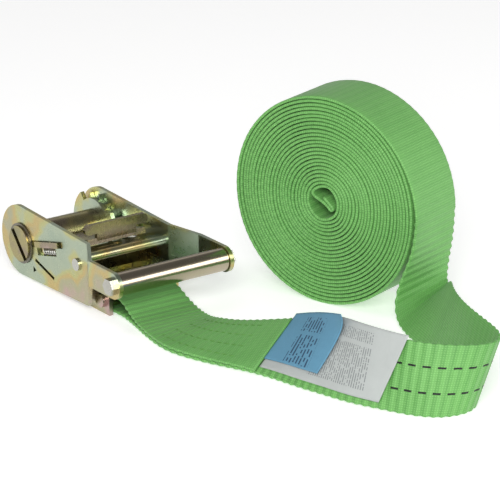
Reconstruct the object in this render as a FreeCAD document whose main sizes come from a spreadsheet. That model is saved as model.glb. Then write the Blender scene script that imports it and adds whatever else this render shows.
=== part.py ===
"""Ratchet strap: a 35 mm tensioning ratchet on the fixed end of a coiled polyester webbing.

Every sub-part is drawn in the spool's own frame: X runs from the spool to the anchor pin and
the grip, Y runs from the near side to the far side, Z is up, and the spool's axis is at X = Z = 0.
The placement of each finished sub-part then moves it to the part's frame, whose origin is the
centre of the base plate's underside, so that the ratchet and the coil stand on Z = 0.
"""

import FreeCAD, Part
import math
import os

import Sketcher
from FreeCAD import Placement, Rotation, Vector

SIZES = [
    ("webbing_width", 35.0, "width of the polyester webbing"),
    ("webbing_thickness", 1.9, "thickness of one layer of webbing"),
    ("webbing_play", 1.0, "gap between the webbing and a side plate"),
    ("frame_sheet", 2.2, "thickness of the frame's steel sheet"),
    ("frame_tail", 76.0, "from the spool's axis to the frame's tail edge"),
    ("frame_corner", 4.6, "bevel at the side plates' tail, along both edges"),
    ("frame_top", -0.5, "height of the side plates' top edge over the spool's axis"),
    ("side_clearance", 0.2, "gap between a ratchet wheel and the plates beside it"),
    ("running_clearance", 0.08, "radial gap of a shaft in its hole"),
    ("slide_clearance", 0.25, "gap round a pawl in its slot"),
    ("spool_height", 18.5, "height of the spool's axis over the surface below"),
    ("spool_diameter", 19.0, "diameter over both half-round shafts"),
    ("spool_slot", 3.0, "slot between the half-round shafts, for the webbing's tail"),
    ("spool_slot_angle", 131.0, "tilt of the slot from the X axis"),
    ("spool_overhang", 2.0, "length of the shafts outside the handle's arms"),
    ("circlip_depth", 0.6, "depth of the circlips' grooves"),
    ("circlip_width", 0.8, "thickness of a circlip"),
    ("circlip_ease", 0.05, "gap of a circlip in its groove"),
    ("circlip_rim", 1.3, "height of a circlip over the shafts"),
    ("wheel_teeth", 12.0, "teeth on a ratchet wheel"),
    ("wheel_root", 14.6, "radius at the bottom of the teeth"),
    ("wheel_tip", 17.6, "radius at the tips of the teeth"),
    ("wheel_sheet", 2.4, "thickness of a ratchet wheel"),
    ("cam_radius", 15.2, "radius of the side plates' round heads"),
    ("head_edge_x", 12.2, "from the spool's axis back to where a side plate's slope starts"),
    ("head_edge_z", 9.1, "depth of that start under the spool's axis"),
    ("frame_toe", 4.6, "from the spool's axis to the front end of a side plate's foot"),
    ("lobe_radius", 20.0, "radius of the lobes that hold the drive pawl"),
    ("closing_lobe_end", 36.0, "angle where the lobe for the closed handle ends"),
    ("stop_lobe_start", 128.0, "angle where the lobe for the final stop starts"),
    ("stop_lobe_end", 184.0, "angle where the lobe for the final stop ends"),
    ("base_start", 24.0, "from the spool's axis to the base plate"),
    ("base_length", 28.0, "length of the base plate"),
    ("anchor_reach", 70.0, "from the spool's axis to the anchor pin"),
    ("anchor_height", 7.0, "height of the anchor pin over the surface below"),
    ("anchor_radius", 3.0, "radius of the anchor pin"),
    ("anchor_head_radius", 3.7, "radius of the anchor pin's heads"),
    ("anchor_head", 2.2, "thickness of the anchor pin's heads"),
    ("sleeve_wall", 1.2, "wall of the sleeve on the anchor pin"),
    ("handle_sheet", 2.2, "thickness of the handle's steel sheet"),
    ("head_radius", 18.8, "radius of the rounded head of a handle arm"),
    ("head_shift", 1.2, "how far the head's centre lies behind and over the axis"),
    ("arm_fold", 64.0, "from the spool's axis to the fold where an arm flares out"),
    ("arm_taper_low", 2.0, "rise of an arm's lower edge from the head to the fold"),
    ("arm_taper_high", 2.4, "fall of an arm's upper edge from the head to the fold"),
    ("slit_start", 14.2, "from the spool's axis to the slit in an arm"),
    ("slit_length", 19.0, "length of the slit in an arm"),
    ("slit_width", 1.7, "width of the slit in an arm"),
    ("slit_offset", 2.4, "how far the slit lies under the line through the spool's axis"),
    ("slit_angle", 16.0, "tilt of the slit below the X axis"),
    ("eyelet_radius", 2.0, "radius of the three-cornered hole under the slit"),
    ("eyelet_x", 12.0, "from the spool's axis to the three-cornered hole"),
    ("eyelet_depth", 11.2, "depth of the three-cornered hole under the spool's axis"),
    ("arm_flare", 8.5, "how far the arms flare out on each side"),
    ("arm_flare_length", 15.0, "length of the flared stretch"),
    ("grip_reach", 101.0, "from the spool's axis to the grip's axis"),
    ("grip_height", 8.0, "height of the grip's axis over the spool's axis"),
    ("grip_radius", 6.0, "outer radius of the grip tube"),
    ("grip_wall", 1.5, "wall of the grip tube"),
    ("grip_collar", 4.0, "length of the grip tube's closed-in ends"),
    ("grip_end_gap", 0.3, "gap between the grip tube and each arm"),
    ("grip_boss_radius", 6.8, "radius of the rounded end of an arm"),
    ("bolt_radius", 2.5, "radius of the grip bolt"),
    ("bolt_head_flats", 7.8, "width over the flats of the bolt's head and nut"),
    ("bolt_head", 3.0, "thickness of the bolt's head"),
    ("nut_height", 2.6, "thickness of the nut"),
    ("bolt_tail", 0.5, "length of the bolt that stands out of the nut"),
    ("web_start", 43.0, "from the spool's axis to the handle's cross web"),
    ("web_end", 61.0, "from the spool's axis to the web's rolled edge"),
    ("web_drop", 3.8, "depth of the web's face under the drive pawl's mid plane"),
    ("web_edge_radius", 2.4, "radius of the web's rolled edge"),
    ("web_slot_reach", 8.0, "from the web's front edge to its slot"),
    ("web_slot_width", 2.6, "width of the web's slot"),
    ("web_slot_length", 11.0, "length of the web's slot across the handle"),
    ("web_hook_length", 6.0, "length of the slot's hook along the handle"),
    ("web_hook_width", 3.0, "width of the slot's hook"),
    ("rivet_reach", 54.4, "from the spool's axis to the handle's rivets"),
    ("rivet_height", 4.0, "height of the handle's rivets over the spool's axis"),
    ("rivet_radius", 2.2, "radius of a rivet's shank"),
    ("rivet_head_radius", 3.2, "radius of a rivet's head"),
    ("rivet_head", 1.1, "thickness of a rivet's head"),
    ("pawl_angle", 14.0, "tilt of the drive pawl's slide in the closed handle"),
    ("pawl_sheet", 3.0, "thickness of the drive pawl"),
    ("pawl_clear", 0.3, "gap from a drawn-back pawl to what it rides over"),
    ("pawl_seat", 0.2, "gap from an engaged pawl to what lies under it"),
    ("pawl_pull", 2.0, "spare travel of the drive pawl beyond its rest"),
    ("pawl_tip", 1.2, "how far the ears' outer tips stand out ahead of the pawl's edge"),
    ("pawl_ear_length", 19.0, "length of the drive pawl's ears"),
    ("pawl_ear_overhang", 1.8, "how far the ears stand out of the handle's arms"),
    ("pawl_lug", 2.0, "thickness of the lugs that the springs push on"),
    ("pawl_length", 33.3, "length of the drive pawl's plate"),
    ("tab_width", 38.0, "width of the finger tab"),
    ("tab_top", 22.0, "height of the finger tab's top over the spool's axis"),
    ("tab_height", 5.2, "height of the finger tab's bar"),
    ("tab_neck", 23.6, "width of the finger tab's neck"),
    ("tab_sheet", 2.4, "thickness of the finger tab"),
    ("pawl_spring_radius", 1.9, "outer radius of a drive pawl spring"),
    ("pawl_spring_length", 11.5, "length of a drive pawl spring"),
    ("lock_sheet", 3.0, "thickness of the lock pawl"),
    ("lock_ear_length", 14.0, "length of the lock pawl's ears"),
    ("lock_length", 21.0, "length of the lock pawl's plate"),
    ("lock_pull", 2.0, "spare travel of the lock pawl beyond its rest"),
    ("lock_spring_radius", 2.2, "outer radius of the lock pawl's spring"),
    ("spring_wire", 0.7, "wall left in a spring's closed outline"),
    ("spring_tab", 2.0, "thickness of the tab that backs the lock pawl's spring"),
    ("spring_tab_width", 6.6, "width of that tab"),
    ("spring_tab_height", 7.5, "height of that tab over the surface below"),
    ("spring_slack", 0.05, "gap between a spring's end and what it pushes on"),
    ("coil_radius", 54.3, "outer radius of the coiled webbing"),
    ("coil_hole", 7.6, "radius of the hole in the middle of the coil"),
    ("coil_gap", 1.6, "from the coil to the middle of the free run that meets it"),
    ("coil_bearing", 108.4, "bearing of the coil's axis from the X axis"),
    ("layer_gap", 0.05, "gap between two layers of webbing"),
    ("label_thickness", 0.35, "thickness of a label leaf"),
    ("label_gap", 0.5, "gap between a label leaf and what it lies on"),
    ("thread", 0.7, "thickness of the seam's thread"),
    ("stitch_length", 3.6, "length of one stitch"),
    ("stitch_pitch", 6.0, "from one stitch to the next"),
]

# The strap's route: the place of its lower edge, which is the near edge where it lies flat, as X, Y
# from the near edge at the anchor, and the height over the surface below. Then come the tilt of
# its width from the horizontal and the bearing of its width. The strap leaves the anchor flat,
# rises on its edge, turns back and meets the coil.
ROUTE = [
    (84.0, 0.0, 1.7, 0.0, 90.0),
    (95.0, -1.5, 1.3, 1.0, 86.0),
    (108.0, -4.1, 1.1, 3.0, 83.0),
    (122.0, -6.5, 1.1, 6.0, 88.0),
    (136.0, -6.9, 1.1, 10.0, 96.0),
    (150.0, -3.7, 1.1, 13.0, 103.0),
    (165.0, 2.0, 1.1, 18.0, 108.0),
    (180.0, 8.5, 1.1, 26.0, 108.0),
    (195.0, 13.3, 1.0, 37.0, 106.0),
    (210.0, 16.7, 0.9, 49.0, 105.0),
    (225.0, 20.9, 0.8, 60.0, 105.0),
    (240.0, 25.7, 0.6, 70.0, 103.0),
    (255.0, 32.7, 0.5, 77.0, 100.0),
    (268.0, 39.5, 0.4, 77.7, 96.6),
    (277.5, 48.0, 0.4, 74.2, 90.8),
    (281.0, 57.5, 0.4, 69.7, 83.0),
    (279.5, 66.5, 0.4, 67.9, 81.4),
    (272.5, 74.0, 0.4, 69.7, 83.0),
    (260.0, 79.0, 0.4, 72.0, 88.1),
    (243.5, 84.5, 0.5, 74.8, 93.4),
    (225.0, 89.4, 0.7, 67.8, 100.9),
    (207.0, 95.1, 0.9, 57.0, 98.0),
    (193.0, 98.1, 1.1, 42.0, 94.0),
    (183.5, 100.5, 2.0, 31.0, 92.0),
    (176.5, 102.5, 4.2, 20.0, 91.0),
    (171.5, 104.7, 8.4, 13.0, 92.0),
    (169.6, 106.9, 14.5, 8.0, 95.0),
    (171.6, 108.9, 24.5, 4.0, 100.0),
    (176.3, 110.8, 38.0, 1.0, 106.0),
    (178.5, 111.7, 54.3, 0.0, 108.4),
]
STATION_STEPS = 3  # sections between two stations of the route

# Where things on the strap start and stop, counted in sections.
SHORT_END = 22
LABEL_START = 23
BLUE_END = 30
WHITE_END = 37
SEAM_START = 9
SEAM_END = 20
BLUE_SPAN = (0.24, 1.10)  # shares of the webbing's width between which a leaf lies
WHITE_SPAN = (0.10, 1.08)
SEAM_ROWS = (0.15, 0.38, 0.62, 0.85)
STITCH_RISE = 0.012  # the thread's height over the twisted layer, as a share of the width
SHORT_END_RISE = [6.6, 3.2]  # the short end's height over the long one at the first stations

document = FreeCAD.newDocument("RatchetStrap")
sheet = document.addObject("Spreadsheet::Sheet", "Sizes")
for row, (alias, number, meaning) in enumerate(SIZES, start=1):
    sheet.set(f"A{row}", alias)
    sheet.set(f"B{row}", str(number))
    sheet.set(f"C{row}", meaning)
    sheet.setAlias(f"B{row}", alias)
document.recompute()

nodes = []


def mm(alias):
    """The number in the sheet's cell of this name."""
    return float(sheet.get(alias))


# Distances that several sub-parts share, as expressions of the sheet's cells.
FRAME_INNER = "(Sizes.webbing_width / 2 + Sizes.webbing_play)"
FRAME_OUTER = f"({FRAME_INNER} + Sizes.frame_sheet)"
WHEEL_INNER = f"({FRAME_OUTER} + Sizes.side_clearance)"
WHEEL_OUTER = f"({WHEEL_INNER} + Sizes.wheel_sheet)"
ARM_INNER = f"({WHEEL_OUTER} + Sizes.side_clearance)"
ARM_OUTER = f"({ARM_INNER} + Sizes.handle_sheet)"
GRIP_INNER = f"({ARM_INNER} + Sizes.arm_flare)"
GRIP_OUTER = f"({ARM_OUTER} + Sizes.arm_flare)"
SPOOL_END = f"({ARM_OUTER} + Sizes.spool_overhang)"
SPOOL_RADIUS = "(Sizes.spool_diameter / 2)"
FLOOR = "(-Sizes.spool_height)"
ANCHOR_Z = f"({FLOOR} + Sizes.anchor_height)"
SLEEVE_RADIUS = "(Sizes.anchor_radius + Sizes.running_clearance + Sizes.sleeve_wall)"
PAWL_REST = "(Sizes.lobe_radius + Sizes.pawl_clear)"
PAWL_ENGAGED = "(Sizes.cam_radius + Sizes.pawl_seat)"
LOCK_REST = "(Sizes.wheel_tip + Sizes.pawl_clear)"
LOCK_ENGAGED = "(Sizes.wheel_root + Sizes.pawl_seat)"
PAWL_LINE = "Sizes.pawl_angle"
LOCK_LINE = "(Sizes.pawl_angle - 360 / Sizes.wheel_teeth)"  # the tooth gap below the drive pawl's
# The lock pawl's spring ends where its lower edge comes down to the base plate.
SPRING_END = (
    "((Sizes.spool_height - Sizes.frame_sheet - Sizes.spring_slack"
    f" - Sizes.lock_spring_radius * cos({LOCK_LINE})) / sin(-{LOCK_LINE}))"
)
SPRING_END_X = (
    f"({SPRING_END} * cos({LOCK_LINE}) + Sizes.lock_spring_radius * sin(-{LOCK_LINE}))"
)
EVERYWHERE = "200"  # longer than the ratchet is wide, for tools that cut right through

# A ratchet wheel's saw tooth, as shares of the pitch from the middle of a gap: the steep face
# holds the pawls, and the long one lets them ride.
TOOTH_STEEP = 0.27
TOOTH_CREST = 0.40
TOOTH_FOOT = 0.73



def bind(thing, **expressions):
    """Bind properties of an object to expressions; base_x stands for Placement.Base.x."""
    for name, expression in expressions.items():
        path = name.replace("base_", "Placement.Base.")
        thing.setExpression(path, expression)
    return thing


def box(name, length, width, height, x, y, z):
    """A box from its low corner."""
    thing = document.addObject("Part::Box", name)
    return bind(thing, Length=length, Width=width, Height=height, base_x=x, base_y=y, base_z=z)


def rod(name, radius, length, x, y, z):
    """A cylinder that runs along +Y from the given point."""
    thing = document.addObject("Part::Cylinder", name)
    thing.Placement = Placement(Vector(), Rotation(Vector(1, 0, 0), -90))
    return bind(thing, Radius=radius, Height=length, base_x=x, base_y=y, base_z=z)


def spring_rod(name, radius, length, x, y, z):
    """A cylinder that runs along +X from the given point."""
    thing = document.addObject("Part::Cylinder", name)
    thing.Placement = Placement(Vector(), Rotation(Vector(0, 1, 0), 90))
    return bind(thing, Radius=radius, Height=length, base_x=x, base_y=y, base_z=z)


def sector(name, radius, start, end, thickness, y):
    """A slice of a disc about the spool's axis, from one angle over X to another, behind y."""
    thing = document.addObject("Part::Cylinder", name)
    upright = Rotation(Vector(1, 0, 0), 90)
    turned = Rotation(Vector(0, 0, 1), mm(start))
    thing.Placement = Placement(Vector(), upright.multiply(turned))
    bind(thing, Radius=radius, Height=thickness, base_y=f"{y} + {thickness}")
    thing.setExpression("Angle", f"Sizes.{end} - Sizes.{start}")
    return thing


def prism(name, sides, radius, height, x, y, z):
    """A prism that runs along +Y from the given point; the radius is that of its corners."""
    thing = document.addObject("Part::Prism", name)
    thing.Polygon = sides
    thing.Placement = Placement(Vector(), Rotation(Vector(1, 0, 0), -90))
    return bind(thing, Circumradius=radius, Height=height, base_x=x, base_y=y, base_z=z)


def fuse(name, *things):
    thing = document.addObject("Part::MultiFuse", name)
    thing.Shapes = list(things)
    thing.Refine = True
    return thing


def cut(name, base, *tools):
    """The base less the tools."""
    thing = document.addObject("Part::Cut", name)
    thing.Base = base
    thing.Tool = tools[0] if len(tools) == 1 else fuse(f"{name}_tools", *tools)
    thing.Refine = True
    return thing


def turn(thing, angle):
    """Turn an object that has no shift of its own, so that its +X side rises by this angle."""
    thing.Placement = Placement(Vector(), Rotation(Vector(0, -1, 0), 1))
    thing.setExpression("Placement.Rotation.Angle", angle)
    return thing


def tilt(thing, angle):
    """An object turned about the spool's axis, wherever it stands."""
    holder = document.addObject("Part::Compound", f"{thing.Name}_tilted")
    holder.Links = [thing]
    return turn(holder, angle)


def closed_sketch(sketch, corners):
    """Draw a closed outline whose corners are pairs of expressions of the sheet's cells."""
    count = len(corners)
    for index in range(count):
        start = Vector(index, index * index, 0)
        end = Vector(index + 1, (index + 1) ** 2, 0)
        sketch.addGeometry(Part.LineSegment(start, end), False)
    for index in range(count):
        following = (index + 1) % count
        sketch.addConstraint(Sketcher.Constraint("Coincident", index, 2, following, 1))
    for index, corner in enumerate(corners):
        for kind, expression in zip(("DistanceX", "DistanceY"), corner):
            made = sketch.addConstraint(Sketcher.Constraint(kind, -1, 1, index, 1, 1.0))
            sketch.setExpression(f"Constraints[{made}]", expression)
    return sketch


def plate(name, corners, thickness, y):
    """A flat plate with straight edges, drawn in X and Z, from y to y + thickness."""
    sketch = document.addObject("Sketcher::SketchObject", f"{name}_outline")
    sketch.Placement = Placement(Vector(), Rotation(Vector(1, 0, 0), 90))
    bind(sketch, base_y=y)
    closed_sketch(sketch, corners)
    thing = document.addObject("Part::Extrusion", name)
    thing.Base = sketch
    thing.DirMode = "Custom"
    thing.Dir = Vector(0, 1, 0)
    thing.Solid = True
    return bind(thing, LengthFwd=thickness)


def shaped(name, shape):
    """A feature whose shape is made with Part's functions."""
    thing = document.addObject("Part::Feature", name)
    thing.Shape = shape
    return thing


def node(label, thing, angle=None):
    """Finish a sub-part: name it and move it from the spool's frame to the part's frame."""
    if angle:
        turn(thing, angle)
    thing.Label = label
    bind(
        thing,
        base_x="-(Sizes.base_start + Sizes.base_length / 2)",
        base_y="0",
        base_z="Sizes.spool_height",
    )
    nodes.append(thing)
    return thing


def side_start(side, inner, outer):
    """Where a piece that lies between two distances from the middle starts along Y."""
    return f"-{outer}" if side == "near" else inner


# ---------------------------------------------------------------- frame


def frame_side(side):
    """One side plate: a round head with two lobes, and a body down to the anchor pin."""
    start = side_start(side, FRAME_INNER, FRAME_OUTER)
    sheet_metal = "Sizes.frame_sheet"
    body = plate(
        f"frame_body_{side}",
        [
            ("-Sizes.head_edge_x", "-Sizes.head_edge_z"),
            ("Sizes.frame_toe", FLOOR),
            ("Sizes.frame_tail", FLOOR),
            ("Sizes.frame_tail", "Sizes.frame_top - Sizes.frame_corner"),
            ("Sizes.frame_tail - Sizes.frame_corner", "Sizes.frame_top"),
            ("0", "Sizes.frame_top"),
        ],
        sheet_metal,
        start,
    )
    return [
        body,
        rod(f"frame_head_{side}", "Sizes.cam_radius", sheet_metal, "0", start, "0"),
        sector(
            f"closing_lobe_{side}",
            "Sizes.lobe_radius",
            "pawl_angle",
            "closing_lobe_end",
            sheet_metal,
            start,
        ),
        sector(
            f"stop_lobe_{side}",
            "Sizes.lobe_radius",
            "stop_lobe_start",
            "stop_lobe_end",
            sheet_metal,
            start,
        ),
    ]


def make_frame():
    base = box(
        "base_plate",
        "Sizes.base_length",
        f"2 * {FRAME_INNER}",
        "Sizes.frame_sheet",
        "Sizes.base_start",
        f"-{FRAME_INNER}",
        FLOOR,
    )
    spring_tab = box(
        "spring_tab",
        "Sizes.spring_tab",
        "Sizes.spring_tab_width",
        "Sizes.spring_tab_height",
        f"{SPRING_END_X} + Sizes.spring_slack",
        "-Sizes.spring_tab_width / 2",
        FLOOR,
    )
    pawl_way = "(Sizes.pawl_sheet / 2 + Sizes.slide_clearance)"
    drive_notch = tilt(
        box(
            "drive_pawl_notch",
            "Sizes.lobe_radius",
            EVERYWHERE,
            f"2 * {pawl_way}",
            f"{PAWL_ENGAGED} - Sizes.slide_clearance",
            f"-{EVERYWHERE} / 2",
            f"-{pawl_way}",
        ),
        PAWL_LINE,
    )
    lock_way = "(Sizes.lock_sheet / 2 + Sizes.slide_clearance)"
    lock_slot = tilt(
        box(
            "lock_pawl_slot",
            f"{LOCK_REST} - {LOCK_ENGAGED} + Sizes.lock_ear_length + Sizes.lock_pull"
            " + 2 * Sizes.slide_clearance",
            EVERYWHERE,
            f"2 * {lock_way}",
            f"{LOCK_ENGAGED} - Sizes.slide_clearance",
            f"-{EVERYWHERE} / 2",
            f"-{lock_way}",
        ),
        LOCK_LINE,
    )
    shaft_hole = rod(
        "frame_shaft_hole",
        f"{SPOOL_RADIUS} + Sizes.running_clearance",
        EVERYWHERE,
        "0",
        f"-{EVERYWHERE} / 2",
        "0",
    )
    pin_hole = rod(
        "anchor_pin_hole",
        "Sizes.anchor_radius + Sizes.running_clearance",
        EVERYWHERE,
        "Sizes.anchor_reach",
        f"-{EVERYWHERE} / 2",
        ANCHOR_Z,
    )
    solid = fuse(
        "frame_stamping", *frame_side("near"), *frame_side("far"), base, spring_tab
    )
    node("ratchet_frame", cut("frame", solid, drive_notch, lock_slot, shaft_hole, pin_hole))


def make_anchor():
    shank = rod(
        "anchor_shank",
        "Sizes.anchor_radius",
        f"2 * {FRAME_OUTER}",
        "Sizes.anchor_reach",
        f"-{FRAME_OUTER}",
        ANCHOR_Z,
    )
    heads = [
        rod(
            f"anchor_head_{side}",
            "Sizes.anchor_head_radius",
            "Sizes.anchor_head",
            "Sizes.anchor_reach",
            side_start(side, FRAME_OUTER, f"({FRAME_OUTER} + Sizes.anchor_head)"),
            ANCHOR_Z,
        )
        for side in ("near", "far")
    ]
    node("anchor_pin", fuse("anchor", shank, *heads))
    width = f"(2 * {FRAME_INNER} - 2 * Sizes.side_clearance)"
    place = ("Sizes.anchor_reach", f"-{width} / 2", ANCHOR_Z)
    outside = rod("sleeve_outside", SLEEVE_RADIUS, width, *place)
    inside = rod(
        "sleeve_inside", "Sizes.anchor_radius + Sizes.running_clearance", width, *place
    )
    node("anchor_sleeve", cut("sleeve", outside, inside))


# ---------------------------------------------------------------- spool


def make_spool():
    """Two half-round shafts with the webbing slot between them, and their circlips."""
    place = ("0", f"-{SPOOL_END}", "0")
    for name, first in (("upper", "Sizes.spool_slot / 2"), ("lower", "-Sizes.spool_diameter")):
        round_bar = rod(f"spool_bar_{name}", SPOOL_RADIUS, f"2 * {SPOOL_END}", *place)
        keep = tilt(
            box(
                f"spool_half_space_{name}",
                "2 * Sizes.spool_diameter",
                EVERYWHERE,
                "Sizes.spool_diameter - Sizes.spool_slot / 2",
                "-Sizes.spool_diameter",
                f"-{EVERYWHERE} / 2",
                first,
            ),
            "Sizes.spool_slot_angle",
        )
        half = document.addObject("Part::MultiCommon", f"spool_half_{name}_bar")
        half.Shapes = [round_bar, keep]
        grooves = [circlip_ring(f"groove_{name}_{side}", side, "0") for side in ("near", "far")]
        node(f"spool_half_{name}", cut(f"spool_{name}", half, *grooves))
    for side in ("near", "far"):
        node(f"spool_circlip_{side}", circlip_ring(f"circlip_{side}", side, "Sizes.circlip_ease"))


def circlip_ring(name, side, ease):
    """The ring that sits in the shafts' groove outside a handle arm."""
    near_face = f"({ARM_OUTER} + Sizes.side_clearance / 2 + {ease})"
    width = f"(Sizes.circlip_width - 2 * {ease})"
    start = side_start(side, near_face, f"({near_face} + {width})")
    outer = rod(
        f"{name}_rim", f"{SPOOL_RADIUS} + Sizes.circlip_rim", width, "0", start, "0"
    )
    inner = rod(
        f"{name}_hole", f"{SPOOL_RADIUS} - Sizes.circlip_depth + {ease}", width, "0", start, "0"
    )
    return cut(name, outer, inner)


def origin_plane(body, role):
    return next(plane for plane in body.Origin.OriginFeatures if plane.Role == role)


def wheel_sketch(body, name):
    """An empty sketch on the body's XZ plane, at the wheel's inner face."""
    sketch = body.newObject("Sketcher::SketchObject", name)
    sketch.AttachmentSupport = [(origin_plane(body, "XZ_Plane"), "")]
    sketch.MapMode = "FlatFace"
    return sketch


def make_wheel(side):
    """A ratchet wheel: a disc with saw teeth and two half-round holes for the shafts."""
    body = document.addObject("PartDesign::Body", f"wheel_{side}")
    disc = wheel_sketch(body, f"wheel_disc_{side}")
    disc.addGeometry(Part.Circle(Vector(), Vector(0, 0, 1), 10), False)
    disc.addConstraint(Sketcher.Constraint("Coincident", 0, 3, -1, 1))
    disc.addConstraint(Sketcher.Constraint("Radius", 0, 10.0))
    disc.setExpression("Constraints[1]", "Sizes.wheel_root")
    rim = body.newObject("PartDesign::Pad", f"wheel_rim_{side}")
    rim.Profile = disc
    rim.setExpression("Length", "Sizes.wheel_sheet")

    steep, crest, foot = (
        f"(Sizes.pawl_angle + {share} * 360 / Sizes.wheel_teeth)"
        for share in (TOOTH_STEEP, TOOTH_CREST, TOOTH_FOOT)
    )
    buried = "(Sizes.wheel_root - Sizes.wheel_sheet / 2)"
    tooth = closed_sketch(
        wheel_sketch(body, f"wheel_tooth_{side}"),
        [
            (f"{buried} * cos({steep})", f"{buried} * sin({steep})"),
            (f"Sizes.wheel_tip * cos({steep})", f"Sizes.wheel_tip * sin({steep})"),
            (f"Sizes.wheel_tip * cos({crest})", f"Sizes.wheel_tip * sin({crest})"),
            (f"{buried} * cos({foot})", f"{buried} * sin({foot})"),
        ],
    )
    tooth_pad = body.newObject("PartDesign::Pad", f"wheel_tooth_pad_{side}")
    tooth_pad.Profile = tooth
    tooth_pad.setExpression("Length", "Sizes.wheel_sheet")
    document.recompute()
    teeth = body.newObject("PartDesign::PolarPattern", f"wheel_teeth_{side}")
    teeth.Originals = [tooth_pad]
    teeth.Axis = (disc, ["N_Axis"])
    teeth.Angle = 360
    teeth.setExpression("Occurrences", "Sizes.wheel_teeth")
    body.Tip = teeth
    document.recompute()

    # The body's pads grow towards -Y, so its inner face is moved out to the wheel's place.
    shift = f"-{WHEEL_INNER}" if side == "near" else WHEEL_OUTER
    bind(body, base_y=shift)
    holes = [
        half_round_hole(f"wheel_hole_{half}_{side}", half) for half in ("upper", "lower")
    ]
    node(f"ratchet_wheel_{side}", cut(f"wheel_cut_{side}", body, *holes))


def half_round_hole(name, half):
    """The hole for one half-round shaft, with a running clearance all round."""
    reach = f"({SPOOL_RADIUS} + Sizes.running_clearance)"
    gap = "(Sizes.spool_slot / 2 - Sizes.running_clearance)"
    round_bar = rod(f"{name}_bar", reach, EVERYWHERE, "0", f"-{EVERYWHERE} / 2", "0")
    keep = tilt(
        box(
            f"{name}_space",
            "2 * Sizes.spool_diameter",
            EVERYWHERE,
            "Sizes.spool_diameter",
            "-Sizes.spool_diameter",
            f"-{EVERYWHERE} / 2",
            gap if half == "upper" else f"-{gap} - Sizes.spool_diameter",
        ),
        "Sizes.spool_slot_angle",
    )
    hole = document.addObject("Part::MultiCommon", name)
    hole.Shapes = [round_bar, keep]
    return hole


# ---------------------------------------------------------------- handle


def handle_arm(side):
    """The flat stretch of one arm, from its rounded head to the fold."""
    start = side_start(side, ARM_INNER, ARM_OUTER)
    sheet_metal = "Sizes.handle_sheet"
    high = "(Sizes.head_shift + Sizes.head_radius)"
    low = "(Sizes.head_shift - Sizes.head_radius)"
    flat = plate(
        f"arm_flat_{side}",
        [
            ("-Sizes.head_shift", low),
            ("Sizes.arm_fold", f"{low} + Sizes.arm_taper_low"),
            ("Sizes.arm_fold", f"{high} - Sizes.arm_taper_high"),
            ("-Sizes.head_shift", high),
        ],
        sheet_metal,
        start,
    )
    head = rod(
        f"arm_head_{side}",
        "Sizes.head_radius",
        sheet_metal,
        "-Sizes.head_shift",
        start,
        "Sizes.head_shift",
    )
    return [flat, head]


def section_solid(sections):
    """A closed solid through four-cornered sections, with each side in flat triangles.

    Opposite sides are split along the same diagonal, so that a thin twisted leaf keeps its thickness.
    """
    caps = (sections[0][::-1], sections[-1])
    faces = [Part.Face(Part.makePolygon([*corners, corners[0]])) for corners in caps]
    for here, there in zip(sections, sections[1:]):
        for corner in range(4):
            beside = (corner + 1) % 4
            quad = [here[corner], here[beside], there[beside], there[corner]]
            if corner >= 2:
                quad = quad[1:] + quad[:1]
            for triangle in (quad[:3], [quad[2], quad[3], quad[0]]):
                faces.append(Part.Face(Part.makePolygon([*triangle, triangle[0]])))
    shell = Part.makeShell(faces)
    shell.sewShape()
    solid = Part.makeSolid(shell)
    if solid.Volume < 0:
        solid.reverse()
    return solid


def arm_inner_face():
    """Distance from the middle to an arm's inner face, as a number."""
    frame_outer = mm("webbing_width") / 2 + mm("webbing_play") + mm("frame_sheet")
    return frame_outer + mm("wheel_sheet") + 2 * mm("side_clearance")


def arm_flare(side):
    """The stretch that leads an arm outward, and its rounded end at the grip."""
    sign = -1 if side == "near" else 1
    inner = arm_inner_face()
    sheet_metal = mm("handle_sheet")
    fold = mm("arm_fold")
    spread = mm("arm_flare")
    high = mm("head_shift") + mm("head_radius") - mm("arm_taper_high")
    low = mm("head_shift") - mm("head_radius") + mm("arm_taper_low")
    boss_high = mm("grip_height") + mm("grip_boss_radius")
    boss_low = mm("grip_height") - mm("grip_boss_radius")
    # along X, outward share of the flare, low and high edge
    outline = [
        (fold, 0.0, low, high),
        (fold + mm("arm_flare_length"), 1.0, boss_low, boss_high),
        (mm("grip_reach"), 1.0, boss_low, boss_high),
    ]
    sections = []
    for x, share, bottom, top in outline:
        near_face = sign * (inner + share * spread)
        far_face = sign * (inner + share * spread + sheet_metal)
        sections.append(
            [
                Vector(x, near_face, bottom),
                Vector(x, near_face, top),
                Vector(x, far_face, top),
                Vector(x, far_face, bottom),
            ]
        )
    return shaped(f"arm_flare_{side}", section_solid(sections))


def handle_web():
    """The cross web between the arms, parallel to the drive pawl, with a rolled rear edge."""
    width = f"2 * {ARM_INNER}"
    below = "-(Sizes.web_drop + Sizes.handle_sheet)"
    flat = box(
        "web_flat",
        "Sizes.web_end - Sizes.web_start",
        width,
        "Sizes.handle_sheet",
        "Sizes.web_start",
        f"-{ARM_INNER}",
        below,
    )
    edge = rod(
        "web_edge",
        "Sizes.web_edge_radius",
        width,
        "Sizes.web_end",
        f"-{ARM_INNER}",
        "-(Sizes.web_drop + Sizes.web_edge_radius)",
    )
    slot_x = "(Sizes.web_start + Sizes.web_slot_reach)"
    slot = box(
        "web_slot",
        "Sizes.web_slot_width",
        "Sizes.web_slot_length",
        EVERYWHERE,
        slot_x,
        "-Sizes.web_slot_length",
        f"-{EVERYWHERE} / 2",
    )
    hook = box(
        "web_slot_hook",
        "Sizes.web_hook_length",
        "Sizes.web_hook_width",
        EVERYWHERE,
        f"{slot_x} + Sizes.web_slot_width - Sizes.web_hook_length",
        "0",
        f"-{EVERYWHERE} / 2",
    )
    return tilt(cut("web", fuse("web_plate", flat, edge), slot, hook), PAWL_LINE)


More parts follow.
